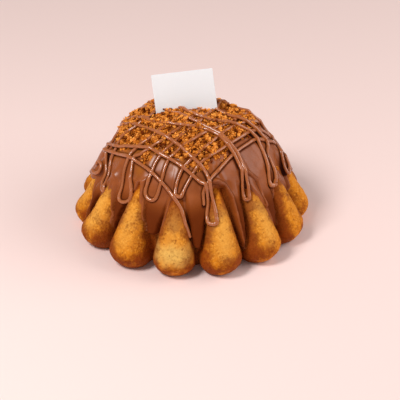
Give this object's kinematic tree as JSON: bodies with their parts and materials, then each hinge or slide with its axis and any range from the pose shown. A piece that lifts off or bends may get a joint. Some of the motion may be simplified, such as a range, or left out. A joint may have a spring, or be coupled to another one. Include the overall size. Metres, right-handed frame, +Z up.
{
  "type": "chocolate lava cake",
  "caption": "Fluted domed sponge cake with a poured milk chocolate coat running down between its lobes, chocolate drizzle, biscuit crumbs and a small bare card standing on top.",
  "frame": {"origin": "middle of the cake's flat base, on the axis of the fluted dome", "axes": "+Z up, the front of the picture faces -Y, +X to its right"},
  "size_m": [0.2011, 0.1978, 0.142],
  "materials": {
    "sponge": "matt baked sponge, golden with browner feet",
    "chocolate_coat": "satin milk chocolate with a glossy drizzle",
    "card": "smooth white paper card"
  },
  "bodies": {
    "root": {"sponge": "sponge", "chocolate_coat": "chocolate_coat", "card": "card"}
  },
  "joints": []
}
